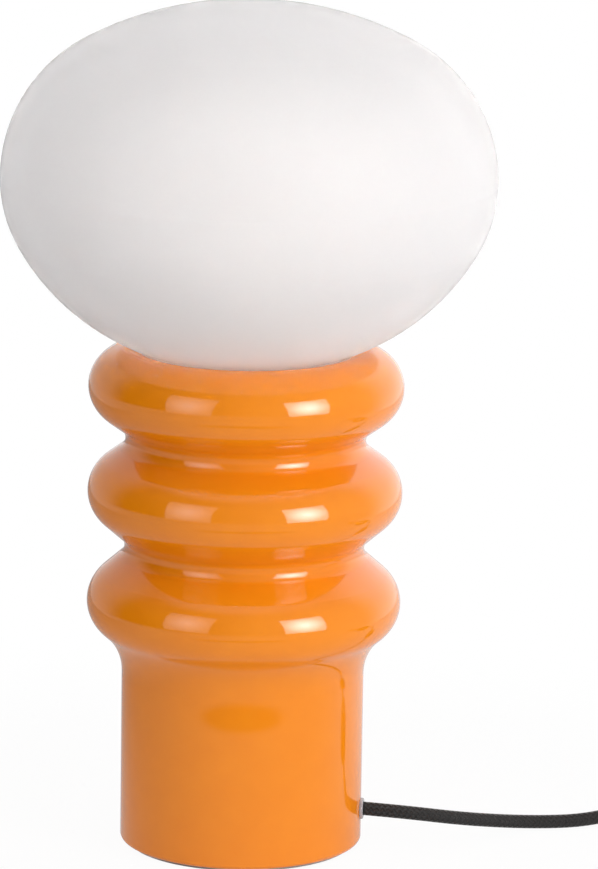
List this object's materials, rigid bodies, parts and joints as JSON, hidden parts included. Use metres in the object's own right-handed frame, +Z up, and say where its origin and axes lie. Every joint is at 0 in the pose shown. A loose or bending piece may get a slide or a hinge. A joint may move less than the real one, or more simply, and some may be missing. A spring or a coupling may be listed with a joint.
{
  "type": "table lamp",
  "caption": "Table lamp with a glazed ceramic foot of stacked round rings, a lift-off opal glass globe, a screw-in bulb and a braided cord with rocker switch and flat plug.",
  "frame": {"origin": "centre of the felt ring's underside, on the table", "axes": "+Z up along the lamp's axis, -Y to the front, the cord leaves towards +X"},
  "size_m": [0.5808, 0.2344, 0.4066],
  "materials": {
    "orange_glaze": "high gloss glaze",
    "opal_glass": "satin etched opal",
    "clear_plastic": "translucent",
    "braided_cord": "textile braid",
    "black_plastic": "fine moulded grain",
    "zinc_steel": "zinc plated",
    "brass": "bare",
    "nickel": "nickel plated",
    "grey_felt": "felt",
    "silicone": "matte",
    "steatite": "unglazed",
    "white_plastic": "satin",
    "diffuser": "frosted",
    "black_glass": "fused glass",
    "brown_sleeve": "smooth",
    "blue_sleeve": "smooth"
  },
  "bodies": {
    "lamp": {"ceramic_base": "orange_glaze", "foot_felt": "grey_felt", "base_lid": "black_plastic", "seat_ring": "silicone", "cord_grommet": "clear_plastic", "cord_clamp": "white_plastic", "cord_clamp_screw": "zinc_steel", "nipple": "zinc_steel", "cushion_washers": "silicone", "clamp_washers": "zinc_steel", "lock_nut": "zinc_steel", "holder_cap": "black_plastic", "holder_skirt": "black_plastic", "holder_core": "steatite", "screw_shell": "brass", "centre_contact": "brass", "terminal_blocks": "brass", "terminal_screws": "zinc_steel", "switch_base": "black_plastic", "switch_cover": "black_plastic", "rocker_pin": "zinc_steel", "switch_screws": "zinc_steel", "switch_contacts": "brass", "plug_body": "black_plastic", "plug_pins": "nickel", "plug_sleeves": "black_plastic", "plug_relief": "black_plastic", "inner_cord": "braided_cord", "live_wire": "brown_sleeve", "neutral_wire": "blue_sleeve", "cord_coil": "braided_cord", "cord_tie": "braided_cord", "cord_lead": "braided_cord", "cord_link": "braided_cord", "cord_tail": "braided_cord"},
    "shade": {"glass_globe": "opal_glass"},
    "bulb_tip": {"bulb_contact": "nickel"},
    "bulb": {"bulb_insulator": "black_glass", "bulb_cap": "nickel", "bulb_housing": "white_plastic", "bulb_dome": "diffuser"},
    "rocker": {"switch_rocker": "black_plastic"}
  },
  "joints": [
    {"name": "shade_lift", "type": "slide", "parent": "lamp", "child": "shade", "axis": [0, 0, 1], "range_m": [0, 0.16]},
    {"name": "bulb_rise", "type": "slide", "parent": "lamp", "child": "bulb_tip", "axis": [0, 0, 1], "range_m": [0, 0.01268]},
    {"name": "bulb_turn", "type": "hinge", "parent": "bulb_tip", "child": "bulb", "pos_m": [0, 0, 0.3], "axis": [0, 0, 1], "range_deg": [0, 1260]},
    {"name": "rocker_tip", "type": "hinge", "parent": "lamp", "child": "rocker", "pos_m": [0.231, 0.0465, 0.014], "axis": [0.2924, -0.9563, 0], "range_deg": [0, 16]}
  ],
  "couplings": [
    {"joint": "bulb_rise", "follows": "bulb_turn", "m_per_rad": 0.00057614}
  ]
}
